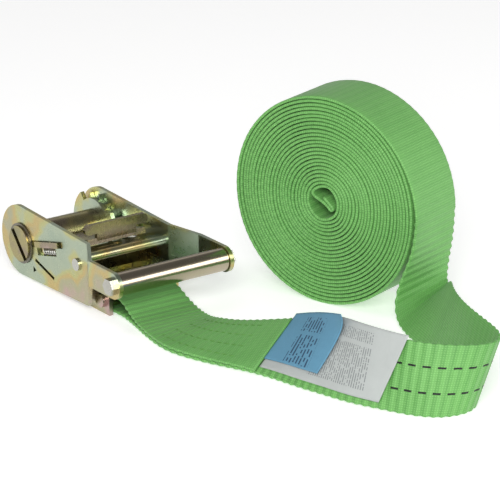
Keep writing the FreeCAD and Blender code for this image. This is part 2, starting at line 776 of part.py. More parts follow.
def arm_windows():
    """The pawl's slots with a window for its springs, and the slit and the hole below."""
    half = "(Sizes.pawl_sheet / 2 + Sizes.slide_clearance)"
    ear_inner = f"({PAWL_ENGAGED} - Sizes.pawl_sheet - Sizes.pawl_tip)"
    ear_outer = f"({PAWL_REST} + Sizes.pawl_ear_length + Sizes.pawl_pull)"
    slot = box(
        "arm_slot",
        f"{ear_outer} - {ear_inner} + 2 * Sizes.slide_clearance",
        EVERYWHERE,
        f"2 * {half}",
        f"{ear_inner} - Sizes.slide_clearance",
        f"-{EVERYWHERE} / 2",
        f"-{half}",
    )
    window_depth = "(2 * Sizes.pawl_spring_radius + 2 * Sizes.slide_clearance)"
    window_start = f"({PAWL_ENGAGED} - Sizes.slide_clearance)"
    window = box(
        "arm_spring_window",
        f"{PAWL_REST} - {PAWL_ENGAGED} + Sizes.pawl_lug + Sizes.pawl_spring_length"
        " + 2 * Sizes.slide_clearance + 2 * Sizes.spring_slack",
        EVERYWHERE,
        window_depth,
        window_start,
        f"-{EVERYWHERE} / 2",
        f"-{half} - {window_depth}",
    )
    openings = tilt(fuse("arm_openings", slot, window), PAWL_LINE)
    slit = tilt(
        box(
            "arm_slit",
            "Sizes.slit_length",
            EVERYWHERE,
            "Sizes.slit_width",
            "Sizes.slit_start",
            f"-{EVERYWHERE} / 2",
            "-Sizes.slit_offset",
        ),
        "-Sizes.slit_angle",
    )
    eyelet = prism(
        "arm_eyelet",
        3,
        "Sizes.eyelet_radius",
        EVERYWHERE,
        "Sizes.eyelet_x",
        f"-{EVERYWHERE} / 2",
        "-Sizes.eyelet_depth",
    )
    return openings, slit, eyelet


def make_handle():
    arms = [*handle_arm("near"), *handle_arm("far"), arm_flare("near"), arm_flare("far")]
    bosses = [
        rod(
            f"grip_boss_{side}",
            "Sizes.grip_boss_radius",
            "Sizes.handle_sheet",
            "Sizes.grip_reach",
            side_start(side, GRIP_INNER, GRIP_OUTER),
            "Sizes.grip_height",
        )
        for side in ("near", "far")
    ]
    shaft_hole = rod(
        "handle_shaft_hole",
        f"{SPOOL_RADIUS} + Sizes.running_clearance",
        EVERYWHERE,
        "0",
        f"-{EVERYWHERE} / 2",
        "0",
    )
    bolt_hole = rod(
        "handle_bolt_hole",
        "Sizes.bolt_radius + Sizes.running_clearance",
        EVERYWHERE,
        "Sizes.grip_reach",
        f"-{EVERYWHERE} / 2",
        "Sizes.grip_height",
    )
    rivet_hole = rod(
        "handle_rivet_hole",
        "Sizes.rivet_radius + Sizes.running_clearance",
        EVERYWHERE,
        "Sizes.rivet_reach",
        f"-{EVERYWHERE} / 2",
        "Sizes.rivet_height",
    )
    solid = fuse("handle_stamping", *arms, *bosses, handle_web())
    node("handle", cut("handle_cut", solid, *arm_windows(), shaft_hole, bolt_hole, rivet_hole))


def make_rivets():
    """A rivet in each arm, flush inside and with a head outside, as two separate solids."""
    head_end = f"({ARM_OUTER} + Sizes.rivet_head)"
    both = []
    for side in ("near", "far"):
        pieces = [
            rod(
                f"rivet_{name}_{side}",
                radius,
                f"{outer} - {inner}",
                "Sizes.rivet_reach",
                side_start(side, inner, outer),
                "Sizes.rivet_height",
            )
            for name, radius, inner, outer in (
                ("shank", "Sizes.rivet_radius", ARM_INNER, ARM_OUTER),
                ("head", "Sizes.rivet_head_radius", ARM_OUTER, head_end),
            )
        ]
        both.append(fuse(f"rivet_{side}", *pieces))
    group = document.addObject("Part::Compound", "rivets")
    group.Links = both
    node("handle_rivets", group)


def make_grip():
    axis_x = "Sizes.grip_reach"
    axis_z = "Sizes.grip_height"
    tube_half = f"({GRIP_INNER} - Sizes.grip_end_gap)"
    outside = rod(
        "grip_outside", "Sizes.grip_radius", f"2 * {tube_half}", axis_x, f"-{tube_half}", axis_z
    )
    inside = rod(
        "grip_inside",
        "Sizes.grip_radius - Sizes.grip_wall",
        f"2 * {tube_half}",
        axis_x,
        f"-{tube_half}",
        axis_z,
    )
    collars = [
        rod(
            f"grip_collar_{side}",
            "Sizes.grip_radius - Sizes.grip_wall",
            "Sizes.grip_collar",
            axis_x,
            f"-{tube_half}" if side == "near" else f"({tube_half} - Sizes.grip_collar)",
            axis_z,
        )
        for side in ("near", "far")
    ]
    bore = rod(
        "grip_bore",
        "Sizes.bolt_radius + Sizes.running_clearance",
        EVERYWHERE,
        axis_x,
        f"-{EVERYWHERE} / 2",
        axis_z,
    )
    tube = cut("grip_tube_wall", outside, inside)
    node("grip_tube", cut("grip", fuse("grip_with_ends", tube, *collars), bore))

    seat = f"({GRIP_OUTER} + Sizes.nut_height + Sizes.bolt_tail)"
    corners = "Sizes.bolt_head_flats / sqrt(3)"
    head = prism(
        "bolt_head",
        6,
        corners,
        "Sizes.bolt_head",
        axis_x,
        f"-{GRIP_OUTER} - Sizes.bolt_head",
        axis_z,
    )
    shank = rod(
        "bolt_shank", "Sizes.bolt_radius", f"{GRIP_OUTER} + {seat}", axis_x, f"-{GRIP_OUTER}", axis_z
    )
    node("grip_bolt", fuse("bolt", head, shank))
    blank = prism("nut_blank", 6, corners, "Sizes.nut_height", axis_x, GRIP_OUTER, axis_z)
    thread = rod(
        "nut_thread",
        "Sizes.bolt_radius + Sizes.running_clearance",
        EVERYWHERE,
        axis_x,
        f"-{EVERYWHERE} / 2",
        axis_z,
    )
    node("grip_nut", cut("nut", blank, thread))


# ---------------------------------------------------------------- pawls


def make_drive_pawl():
    """The sliding pawl of the handle, drawn level and then tilted into its slots."""
    half = "Sizes.pawl_sheet / 2"
    ear_reach = f"({ARM_OUTER} + Sizes.pawl_ear_overhang)"
    plate_half = f"({FRAME_INNER} - 4 * Sizes.slide_clearance)"
    pieces = [
        box(
            "pawl_plate",
            "Sizes.pawl_length",
            f"2 * {plate_half}",
            "Sizes.pawl_sheet",
            PAWL_REST,
            f"-{plate_half}",
            f"-{half}",
        ),
        box(
            "pawl_ears",
            "Sizes.pawl_ear_length",
            f"2 * {ear_reach}",
            "Sizes.pawl_sheet",
            PAWL_REST,
            f"-{ear_reach}",
            f"-{half}",
        ),
    ]
    tip_start = f"({ARM_INNER} + Sizes.side_clearance)"
    for side in ("near", "far"):
        pieces.append(
            box(
                f"pawl_ear_tip_{side}",
                "Sizes.pawl_sheet + 2 * Sizes.pawl_tip",
                f"{ear_reach} - {tip_start}",
                "Sizes.pawl_sheet",
                f"{PAWL_REST} - Sizes.pawl_sheet - Sizes.pawl_tip",
                side_start(side, tip_start, ear_reach),
                f"-{half}",
            )
        )
        pieces.append(
            box(
                f"pawl_spring_lug_{side}",
                "Sizes.pawl_lug",
                f"{ARM_OUTER} - {tip_start}",
                "2 * Sizes.pawl_spring_radius",
                PAWL_REST,
                side_start(side, tip_start, ARM_OUTER),
                f"-{half} - 2 * Sizes.pawl_spring_radius",
            )
        )
    level = tilt(fuse("pawl_level", *pieces), PAWL_LINE)
    node("drive_pawl", fuse("pawl", level, finger_tab()))


def finger_tab():
    """The upright bar that the fingers pull, on a narrower neck from the pawl's plate."""
    reach = f"({PAWL_REST} + Sizes.pawl_length)"
    x = f"{reach} * cos(Sizes.pawl_angle) - Sizes.tab_sheet"
    foot = f"({reach} * sin(Sizes.pawl_angle))"
    corner = "(Sizes.tab_height / 2)"
    straight = "(Sizes.tab_width - Sizes.tab_height)"
    bottom = "(Sizes.tab_top - Sizes.tab_height)"
    neck = box(
        "tab_neck_plate",
        "Sizes.tab_sheet",
        "Sizes.tab_neck",
        f"Sizes.tab_top - {corner} - {foot}",
        x,
        "-Sizes.tab_neck / 2",
        foot,
    )
    bar = box(
        "tab_bar", "Sizes.tab_sheet", straight, "Sizes.tab_height", x, f"-{straight} / 2", bottom
    )
    ends = [
        spring_rod(
            f"tab_end_{name}",
            corner,
            "Sizes.tab_sheet",
            x,
            f"{sign}{straight} / 2",
            f"Sizes.tab_top - {corner}",
        )
        for name, sign in (("near", "-"), ("far", ""))
    ]
    return fuse("tab", neck, bar, *ends)


def spring_tube(name, radius, length, x, y, z):
    """The closed outline of a coil spring along +X."""
    outside = spring_rod(f"{name}_outside", radius, length, x, y, z)
    inside = spring_rod(f"{name}_inside", f"{radius} - Sizes.spring_wire", length, x, y, z)
    return cut(name, outside, inside)


def make_drive_pawl_springs():
    """A spring in each arm's window, from the pawl's lug to the window's end."""
    middle = f"(({ARM_INNER} + {ARM_OUTER}) / 2)"
    springs = [
        spring_tube(
            f"pawl_spring_{name}",
            "Sizes.pawl_spring_radius",
            "Sizes.pawl_spring_length",
            f"{PAWL_REST} + Sizes.pawl_lug + Sizes.spring_slack",
            f"{sign}{middle}",
            "-(Sizes.pawl_sheet / 2 + Sizes.slide_clearance + Sizes.pawl_spring_radius)",
        )
        for name, sign in (("near", "-"), ("far", ""))
    ]
    group = document.addObject("Part::Compound", "pawl_springs")
    group.Links = springs
    node("drive_pawl_springs", group, PAWL_LINE)


def make_lock_pawl():
    """The sliding pawl of the frame, drawn level and then tilted into its slots."""
    half = "Sizes.lock_sheet / 2"
    ear_reach = f"({WHEEL_OUTER} - Sizes.side_clearance / 2)"
    plate_half = f"({FRAME_INNER} - Sizes.slide_clearance)"
    body = box(
        "lock_plate",
        "Sizes.lock_length",
        f"2 * {plate_half}",
        "Sizes.lock_sheet",
        LOCK_REST,
        f"-{plate_half}",
        f"-{half}",
    )
    ears = box(
        "lock_ears",
        "Sizes.lock_ear_length",
        f"2 * {ear_reach}",
        "Sizes.lock_sheet",
        LOCK_REST,
        f"-{ear_reach}",
        f"-{half}",
    )
    node("lock_pawl", fuse("lock", body, ears), LOCK_LINE)


def make_lock_pawl_spring():
    """The spring between the lock pawl and the base plate's tab."""
    start = f"({LOCK_REST} + Sizes.lock_length + Sizes.spring_slack)"
    spring = spring_tube(
        "lock_spring", "Sizes.lock_spring_radius", f"{SPRING_END} - {start}", start, "0", "0"
    )
    node("lock_pawl_spring", spring, LOCK_LINE)


# ---------------------------------------------------------------- webbing


def route_curves():
    """Smooth curves through the strap's lower and upper edge, with one station per unit."""
    low = []
    high = []
    for x, y, height, lean, bearing in ROUTE:
        corner = Vector(x, y - mm("webbing_width") / 2, height - mm("spool_height"))
        level = math.cos(math.radians(lean))
        across = Vector(
            level * math.cos(math.radians(bearing)),
            level * math.sin(math.radians(bearing)),
            math.sin(math.radians(lean)),
        )
        low.append(corner)
        high.append(corner + across * mm("webbing_width"))
    curves = []
    for points in (low, high):
        curve = Part.BSplineCurve()
        curve.interpolate(Points=points, Parameters=[float(n) for n in range(len(points))])
        curves.append(curve)
    return curves


def ribbon(start, end, thickness, raised, low_share=0.0, high_share=1.0):
    """A strip along the route; raised gives its mid plane's height over the route's surface."""
    low, high = route_curves()
    sections = []
    for index in range(start, end + 1):
        station = index / STATION_STEPS
        across = high.value(station) - low.value(station)
        along = low.tangent(station)[0] + high.tangent(station)[0]
        normal = along.cross(across).normalize()
        corner_low = low.value(station) + across * low_share
        corner_high = low.value(station) + across * high_share
        under = normal * (raised(station) - thickness / 2)
        over = normal * (raised(station) + thickness / 2)
        sections.append(
            [corner_low + under, corner_high + under, corner_high + over, corner_low + over]
        )
    return section_solid(sections)


def layer_gap():
    """Between two layers of webbing, and between a layer and what lies on it."""
    return mm("layer_gap")


def layer_pitch():
    """From the middle of one layer of webbing to the middle of the next."""
    return mm("webbing_thickness") + layer_gap()


def short_end_rise(station):
    """The short end comes down from the anchor pin's top onto the long end."""
    first, second = SHORT_END_RISE
    if station >= 2:
        return layer_pitch()
    if station >= 1:
        return second + (layer_pitch() - second) * (station - 1)
    return first + (second - first) * station


def touching_point(centre, radius, end, side):
    """Where a line from the end point touches the upper (1) or lower (-1) side of a circle."""
    away = end - centre
    angle = math.atan2(away.z, away.x) + side * math.acos(radius / away.Length)
    return centre + Vector(math.cos(angle), 0, math.sin(angle)) * radius


def make_anchor_loop():
    """The fold of webbing round the anchor sleeve, with both layers running to the route."""
    thick = mm("webbing_thickness")
    x = mm("anchor_reach")
    z = mm("anchor_height") - mm("spool_height")
    sleeve = mm("anchor_radius") + mm("running_clearance") + mm("sleeve_wall")
    inner = sleeve + mm("side_clearance")
    outer = inner + thick
    end_x = ROUTE[0][0] - layer_gap()
    long_end = ROUTE[0][2] - mm("spool_height")
    short_end = long_end + SHORT_END_RISE[0]
    pin = Vector(x, 0, z)
    points = []
    for height, side, radii in ((short_end, 1, (outer, inner)), (long_end, -1, (inner, outer))):
        ends = [Vector(end_x, 0, height + rise) for rise in (thick / 2, -thick / 2)]
        starts = [touching_point(pin, radius, end, side) for radius, end in zip(radii, ends)]
        points += [starts[0], *ends, starts[1]]
    edges = [Part.LineSegment(points[n], points[n + 1]).toShape() for n in (0, 1, 2)]
    edges.append(Part.Arc(points[3], Vector(x - inner, 0, z), points[4]).toShape())
    edges += [Part.LineSegment(points[n], points[n + 1]).toShape() for n in (4, 5, 6)]
    edges.append(Part.Arc(points[7], Vector(x - outer, 0, z), points[0]).toShape())
    half = mm("webbing_width") / 2
    face = Part.Face(Part.Wire(edges))
    face.translate(Vector(0, -half, 0))
    loop = face.extrude(Vector(0, 2 * half, 0))
    node("webbing_anchor_loop", shaped("anchor_loop", loop))


def make_strap():
    thick = mm("webbing_thickness")
    last = (len(ROUTE) - 1) * STATION_STEPS
    run = ribbon(0, last, thick, lambda station: 0)
    node("webbing_free_run", shaped("free_run", run))
    short = ribbon(0, SHORT_END, thick, short_end_rise)
    node("webbing_short_end", shaped("short_end", short))


def make_labels():
    """The two leaves of the sewn-in label, standing a little over the strap's upper edge."""
    leaf = mm("label_thickness")
    gap = mm("label_gap")
    white_mid = mm("webbing_thickness") / 2 + gap + leaf / 2
    blue_mid = white_mid + leaf + gap
    for name, end, middle, (low_share, high_share) in (
        ("white", WHITE_END, white_mid, WHITE_SPAN),
        ("blue", BLUE_END, blue_mid, BLUE_SPAN),
    ):
        strip = ribbon(LABEL_START, end, leaf, lambda station: middle, low_share, high_share)
        node(f"label_{name}_leaf", shaped(f"label_{name}", strip))


def make_seam():
    """Rows of thread that hold the short end down on the long one."""
    thread = mm("thread")
    raised = layer_pitch() + mm("webbing_thickness") / 2 + thread / 2
    raised += STITCH_RISE * mm("webbing_width")
    low, high = route_curves()
    start = SEAM_START / STATION_STEPS
    end = SEAM_END / STATION_STEPS
    count = round(low.length(start, end) / mm("stitch_pitch"))
    stitches = []
    for share in SEAM_ROWS:
        for index in range(count):
            station = start + (end - start) * index / count
            across = high.value(station) - low.value(station)
            along = (low.tangent(station)[0] + high.tangent(station)[0]).normalize()
            normal = along.cross(across).normalize()
            middle = low.value(station) + across * share + normal * raised
            facing = Placement(middle, Rotation(along, normal.cross(along), normal, "XZY"))
            centred = Vector(-mm("stitch_length") / 2, -thread / 2, -thread / 2)
            stitch = Part.makeBox(mm("stitch_length"), thread, thread)
            stitch.Placement = facing.multiply(Placement(centred, Rotation()))
            stitches.append(stitch)
    node("seam_stitches", shaped("stitches", Part.makeCompound(stitches)))


def make_coil():
    """The rolled-up webbing, standing on its edge, as a ring beside the free run's end."""
    end_x, end_y = ROUTE[-1][:2]
    reach = "(Sizes.coil_radius + Sizes.coil_gap)"
    upright = Rotation(Vector(1, 0, 0), -90)
    facing = Rotation(Vector(0, 0, 1), mm("coil_bearing") - 90)
    rings = []
    for name, radius in (("outside", "Sizes.coil_radius"), ("hole", "Sizes.coil_hole")):
        disc = document.addObject("Part::Cylinder", f"coil_{name}")
        disc.Placement = Placement(Vector(), facing.multiply(upright))
        bind(
            disc,
            Radius=radius,
            Height="Sizes.webbing_width",
            base_x=f"{end_x} - {reach} * sin(Sizes.coil_bearing)",
            base_y=f"{end_y} - Sizes.webbing_width / 2 + {reach} * cos(Sizes.coil_bearing)",
            base_z=f"{FLOOR} + Sizes.coil_radius",
        )
        rings.append(disc)
    node("webbing_coil", cut("coil", *rings))


def check_document():
    """Stop if any object failed or any sub-part has no valid shape."""
    for thing in document.Objects:
        if "Invalid" in thing.State or "Error" in thing.State:
            raise RuntimeError(f"{thing.Name} did not recompute: {thing.State}")
    for thing in nodes:
        if thing.Shape.isNull() or not thing.Shape.isValid():
            raise RuntimeError(f"{thing.Label} has no valid shape")


make_frame()
make_anchor()
make_spool()
make_wheel("near")
make_wheel("far")
make_handle()
make_rivets()
make_grip()
make_drive_pawl()
make_drive_pawl_springs()
make_lock_pawl()
make_lock_pawl_spring()
make_anchor_loop()
make_strap()
make_labels()
make_seam()
make_coil()
document.recompute()
check_document()

os.makedirs("parts", exist_ok=True)
for thing in nodes:
    thing.Shape.exportStep(f"parts/{thing.Label}.step")
    solids = len(thing.Shape.Solids)
    print(f"{thing.Label}: {solids} solid(s), {thing.Shape.Volume:.1f} mm3")
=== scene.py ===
"""Looks of the ratchet strap: woven webbing, its coil, the sewn-in label, springs and plated steel.

Lengths in the constants are millimetres, because the parts are small; MM turns them into metres.
"""

import math

import bpy
import numpy as np
from mathutils import Matrix, Vector


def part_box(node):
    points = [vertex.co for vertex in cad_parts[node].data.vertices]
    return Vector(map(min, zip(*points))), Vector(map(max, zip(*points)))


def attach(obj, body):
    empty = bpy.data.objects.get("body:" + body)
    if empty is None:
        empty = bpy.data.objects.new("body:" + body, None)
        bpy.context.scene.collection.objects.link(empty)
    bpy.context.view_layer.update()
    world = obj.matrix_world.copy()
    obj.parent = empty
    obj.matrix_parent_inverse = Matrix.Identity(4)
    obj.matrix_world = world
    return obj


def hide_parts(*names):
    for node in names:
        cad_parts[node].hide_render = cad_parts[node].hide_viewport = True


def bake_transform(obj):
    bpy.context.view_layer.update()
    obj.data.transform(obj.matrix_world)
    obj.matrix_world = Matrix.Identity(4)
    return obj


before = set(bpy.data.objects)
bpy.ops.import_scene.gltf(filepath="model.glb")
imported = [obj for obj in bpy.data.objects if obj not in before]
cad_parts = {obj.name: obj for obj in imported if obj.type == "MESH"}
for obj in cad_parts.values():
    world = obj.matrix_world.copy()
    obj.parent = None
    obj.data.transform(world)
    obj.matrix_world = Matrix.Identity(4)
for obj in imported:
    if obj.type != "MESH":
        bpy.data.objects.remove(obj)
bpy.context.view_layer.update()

MM = 0.001

# ---------------------------------------------------------------- camera, floor and light

CAMERA_PLACE = (1.2612, -0.7856, 0.5508)
CAMERA_YAW = math.radians(145.155)  # bearing of the view from the X axis
CAMERA_PITCH = math.radians(19.709)  # how far the view points down
CAMERA_ROLL = math.radians(-0.579)
CAMERA_LENS = 220.3
CAMERA_SENSOR = 36


def make_camera():
    forward = Vector(
        (
            math.cos(CAMERA_YAW) * math.cos(CAMERA_PITCH),
            math.sin(CAMERA_YAW) * math.cos(CAMERA_PITCH),
            -math.sin(CAMERA_PITCH),
        )
    )
    level = Vector((math.sin(CAMERA_YAW), -math.cos(CAMERA_YAW), 0))
    upward = level.cross(forward)
    right = level * math.cos(CAMERA_ROLL) + upward * math.sin(CAMERA_ROLL)
    turn = Matrix((right, right.cross(forward), -forward)).transposed().to_4x4()
    data = bpy.data.cameras.new("camera")
    data.lens = CAMERA_LENS
    data.sensor_width = CAMERA_SENSOR
    camera = bpy.data.objects.new("camera", data)
    camera.matrix_world = Matrix.Translation(CAMERA_PLACE) @ turn
    bpy.context.collection.objects.link(camera)
    bpy.context.scene.camera = camera


def area_light(name, place, target, size, watts, colour):
    data = bpy.data.lights.new(name, "AREA")
    data.shape = "DISK"
    data.size = size
    data.energy = watts
    data.color = colour
    light = bpy.data.objects.new(name, data)
    light.location = place
    aim = Vector(target) - Vector(place)
    light.rotation_euler = aim.to_track_quat("-Z", "Y").to_euler()
    bpy.context.collection.objects.link(light)


def grade(ramp, stops):
    """Set a colour ramp's stops from (position, colour) pairs in rising order."""
    elements = ramp.color_ramp.elements
    while len(elements) < len(stops):
        elements.new(1)
    for element, (position, colour) in zip(elements, stops):
        element.position = position
        element.color = (*colour, 1)


# How bright the surroundings are at heights from the horizon (0) to straight up (1). The dark
# bands give the plated steel its dark streaks.
STUDIO_LEVELS = [
    (0.0, 0.80),
    (0.12, 0.85),
    (0.20, 0.22),
    (0.34, 0.22),
    (0.42, 1.0),
    (0.62, 0.75),
    (0.72, 0.25),
    (1.0, 0.18),
]
STUDIO_STRENGTH = 0.72
FLOOR_HALF = 12
FLOOR_GLOW = 0.42  # keeps the floor near white
LIT_PLACE = (0.06, 0.03, 0.03)  # what the lamps point at
LAMPS = [  # name, place, size, watts, colour
    ("key_light", (1.3, -0.9, 0.85), 0.8, 20, (1, 0.99, 0.97)),
    ("top_light", (0.1, -0.3, 1.6), 1.1, 3.5, (0.98, 0.99, 1)),
    ("side_light", (1.2, 0.9, 0.6), 0.7, 5, (1, 1, 1)),
]


def make_stage():
    """A pale floor, a soft bright surrounding and three soft lamps."""
    mesh = bpy.data.meshes.new("floor")
    half = FLOOR_HALF
    corners = [(-half, -half, 0), (half, -half, 0), (half, half, 0), (-half, half, 0)]
    mesh.from_pydata(corners, [], [(0, 1, 2, 3)])
    floor = bpy.data.objects.new("floor", mesh)
    bpy.context.collection.objects.link(floor)
    paint = bpy.data.materials.new("floor_paint")
    paint.use_nodes = True
    shader = paint.node_tree.nodes["Principled BSDF"]
    shader.inputs["Base Color"].default_value = (0.90, 0.90, 0.90, 1)
    shader.inputs["Emission Color"].default_value = (1, 1, 1, 1)
    shader.inputs["Emission Strength"].default_value = FLOOR_GLOW
    shader.inputs["Roughness"].default_value = 0.9
    shader.inputs["Specular IOR Level"].default_value = 0.1
    mesh.materials.append(paint)

    world = bpy.data.worlds.new("studio")
    world.use_nodes = True
    bpy.context.scene.world = world
    tree = world.node_tree
    background = tree.nodes["Background"]
    where = tree.nodes.new("ShaderNodeTexCoord")
    split = tree.nodes.new("ShaderNodeSeparateXYZ")
    ramp = tree.nodes.new("ShaderNodeValToRGB")
    grade(ramp, [(height, (level, level, level)) for height, level in STUDIO_LEVELS])
    tree.links.new(where.outputs["Generated"], split.inputs[0])
    tree.links.new(split.outputs["Z"], ramp.inputs[0])
    tree.links.new(ramp.outputs[0], background.inputs["Color"])
    background.inputs["Strength"].default_value = STUDIO_STRENGTH

    for name, place, size, watts, colour in LAMPS:
        area_light(name, place, LIT_PLACE, size, watts, colour)
    bpy.context.scene.view_settings.view_transform = "Standard"


# ---------------------------------------------------------------- shader helpers


def new_material(name):
    """A material, its node tree and its principled shader."""
    material = bpy.data.materials.new(name)
    material.use_nodes = True
    tree = material.node_tree
    return material, tree, tree.nodes["Principled BSDF"]


def calculate(tree, operation, *values):
    """A maths node on sockets or numbers; returns its result socket."""
    maths = tree.nodes.new("ShaderNodeMath")
    maths.operation = operation
    for index, value in enumerate(values):
        if isinstance(value, (int, float)):
            maths.inputs[index].default_value = value
        else:
            tree.links.new(value, maths.inputs[index])
    return maths.outputs[0]


def mix_colours(tree, share, first, second):
    """A colour between two colours or colour sockets."""
    mix = tree.nodes.new("ShaderNodeMix")
    mix.data_type = "RGBA"
    if isinstance(share, (int, float)):
        mix.inputs[0].default_value = share
    else:
        tree.links.new(share, mix.inputs[0])
    for socket, colour in ((mix.inputs[6], first), (mix.inputs[7], second)):
        if isinstance(colour, tuple):
            socket.default_value = (*colour, 1)
        else:
            tree.links.new(colour, socket)
    return mix.outputs[2]


def noise(tree, scale, detail=3.0, roughness=0.55, stretch=None):
    """A noise value over the object's own coordinates, in metres."""
    where = tree.nodes.new("ShaderNodeTexCoord")
    texture = tree.nodes.new("ShaderNodeTexNoise")
    texture.inputs["Scale"].default_value = scale
    texture.inputs["Detail"].default_value = detail
    texture.inputs["Roughness"].default_value = roughness
    source = where.outputs["Object"]
    if stretch:
        mapping = tree.nodes.new("ShaderNodeMapping")
        mapping.inputs["Scale"].default_value = stretch
        tree.links.new(source, mapping.inputs[0])
        source = mapping.outputs[0]
    tree.links.new(source, texture.inputs["Vector"])
    return texture.outputs["Fac"]


def strip_coordinates(tree):
    """Distance along a strip and across it from its middle, in millimetres."""
    where = tree.nodes.new("ShaderNodeTexCoord")
    split = tree.nodes.new("ShaderNodeSeparateXYZ")
    tree.links.new(where.outputs["UV"], split.inputs[0])
    return split.outputs[0], split.outputs[1]


def stripes(tree, distance, pitch):
    """A smooth wave from 0 to 1 with this pitch."""
    angle = calculate(tree, "MULTIPLY", distance, 2 * math.pi / pitch)
    return calculate(tree, "MULTIPLY_ADD", calculate(tree, "SINE", angle), 0.5, 0.5)


def bump(tree, shader, height, distance, strength=1.0):
    relief = tree.nodes.new("ShaderNodeBump")
    relief.inputs["Strength"].default_value = strength
    relief.inputs["Distance"].default_value = distance
    tree.links.new(height, relief.inputs["Height"])
    tree.links.new(relief.outputs[0], shader.inputs["Normal"])


# ---------------------------------------------------------------- materials

RIB_PITCH = 4.4  # from one woven rib of the webbing to the next
WEFT_PITCH = 1.25
WARP_PITCH = 1.1
DASH_PITCH = 6.9
DASH_SHARE = 0.55  # how much of its pitch a dash fills
DASH_HALF_WIDTH = 0.5
DASH_ROW = 6.2  # from the middle of the webbing to each row of dashes

GREEN_LIGHT = (0.205, 0.500, 0.140)
GREEN_DARK = (0.018, 0.155, 0.014)
DASH_BLACK = (0.003, 0.005, 0.003)


def webbing_material(name, ribs, shade, dashes):
    """Ribbed polyester weave; the dashed face also has two rows of woven black dashes.

    ribs is how strongly the ribs show, and shade how much the whole face is darkened. shade is
    painted light and shade: the dashed face is darkened more than the plain one, so the plain face
    inside the bend reads lighter than the lamps make it.
    """
    material, tree, shader = new_material(name)
    along, across = strip_coordinates(tree)
    rib = stripes(tree, along, RIB_PITCH)
    weft = stripes(tree, along, WEFT_PITCH)
    warp = stripes(tree, across, WARP_PITCH)
    weave = calculate(tree, "MULTIPLY", weft, warp)
    fibres = noise(tree, 900, 4, 0.6)
    patches = noise(tree, 38, 3, 0.5)
    height = calculate(tree, "MULTIPLY", rib, 0.55 * ribs)
    height = calculate(tree, "MULTIPLY_ADD", weave, 0.22, height)
    height = calculate(tree, "MULTIPLY_ADD", fibres, 0.30, height)
    bump(tree, shader, height, 0.00042)

    light = calculate(tree, "MULTIPLY_ADD", weave, 0.42, 0.30)
    light = calculate(tree, "MULTIPLY_ADD", rib, 0.22 * ribs, light)
    light = calculate(tree, "MULTIPLY_ADD", patches, 0.30, light)
    light = calculate(tree, "MULTIPLY_ADD", fibres, 0.22, light)
    # Painted shade: the whole face is darkened by shade, less on the plain face inside the bend.
    light = calculate(tree, "SUBTRACT", light, shade)
    colour = mix_colours(tree, light, GREEN_DARK, GREEN_LIGHT)
    if dashes:
        phase = calculate(tree, "FRACT", calculate(tree, "DIVIDE", along, DASH_PITCH))
        inside = calculate(tree, "LESS_THAN", phase, DASH_SHARE)
        off_row = calculate(tree, "SUBTRACT", calculate(tree, "ABSOLUTE", across), DASH_ROW)
        near_row = calculate(
            tree, "LESS_THAN", calculate(tree, "ABSOLUTE", off_row), DASH_HALF_WIDTH
        )
        dash = calculate(tree, "MULTIPLY", inside, near_row)
        colour = mix_colours(tree, dash, colour, DASH_BLACK)
    tree.links.new(colour, shader.inputs["Base Color"])
    shader.inputs["Roughness"].default_value = 0.52
    shader.inputs["Specular IOR Level"].default_value = 0.42
    shader.inputs["Sheen Weight"].default_value = 0.08
    shader.inputs["Sheen Roughness"].default_value = 0.45
    return material


def thread_material():
    material, tree, shader = new_material("sewing_thread")
    along, across = strip_coordinates(tree)
    twist = stripes(tree, calculate(tree, "ADD", along, across), 0.6)
    colour = mix_colours(tree, twist, (0.12, 0.36, 0.06), (0.22, 0.50, 0.12))
    tree.links.new(colour, shader.inputs["Base Color"])
    shader.inputs["Roughness"].default_value = 0.5
    bump(tree, shader, twist, 0.0002)
    return material


def zinc_material(name, stops, roughness, patch_scale=26):
    """Plated steel whose passivation drifts between several tints."""
    material, tree, shader = new_material(name)
    drift = noise(tree, patch_scale, 2.5, 0.45, stretch=(1, 0.6, 1.3))
    ramp = tree.nodes.new("ShaderNodeValToRGB")
    ramp.color_ramp.interpolation = "EASE"
    grade(ramp, stops)
    tree.links.new(drift, ramp.inputs[0])
    grain = noise(tree, 420, 5, 0.65)
    scuffs = noise(tree, 90, 6, 0.75)
    worn = mix_colours(
        tree, calculate(tree, "MULTIPLY", scuffs, 0.30), ramp.outputs[0], stops[0][1]
    )
    tree.links.new(worn, shader.inputs["Base Color"])
    shader.inputs["Metallic"].default_value = 1.0
    rough = calculate(tree, "MULTIPLY_ADD", grain, 0.16, roughness)
    rough = calculate(tree, "MULTIPLY_ADD", scuffs, 0.12, rough)
    tree.links.new(rough, shader.inputs["Roughness"])
    bump(tree, shader, grain, 0.00003, 0.5)
    return material


def yellow_zinc():
    """Yellow passivation: grey green, gold and pink patches."""
    stops = [
        (0.30, (0.36, 0.43, 0.33)),
        (0.42, (0.41, 0.47, 0.35)),
        (0.48, (0.50, 0.48, 0.20)),
        (0.54, (0.55, 0.41, 0.16)),
        (0.60, (0.43, 0.40, 0.25)),
        (0.70, (0.52, 0.35, 0.34)),
    ]
    return zinc_material("yellow_zinc", stops, roughness=0.15, patch_scale=34)


def shaded_inner_zinc():
    """The inner parts' darker, browner plating: painted shade for the parts that sit between the
    side plates and inside the strap's loop.
    """
    stops = [
        (0.32, (0.27, 0.26, 0.15)),
        (0.48, (0.38, 0.33, 0.15)),
        (0.60, (0.30, 0.24, 0.17)),
        (0.70, (0.40, 0.30, 0.27)),
    ]
    return zinc_material("shaded_inner_zinc", stops, roughness=0.14, patch_scale=60)


def polished_zinc():
    """The grip's rubbed, rosy plating."""
    stops = [
        (0.34, (0.41, 0.36, 0.26)),
        (0.50, (0.46, 0.38, 0.30)),
        (0.66, (0.35, 0.33, 0.20)),
    ]
    return zinc_material("polished_zinc", stops, roughness=0.03, patch_scale=40)


def bright_zinc():
    stops = [(0.3, (0.55, 0.55, 0.52)), (0.7, (0.42, 0.41, 0.36))]
    return zinc_material("bright_zinc", stops, roughness=0.14)


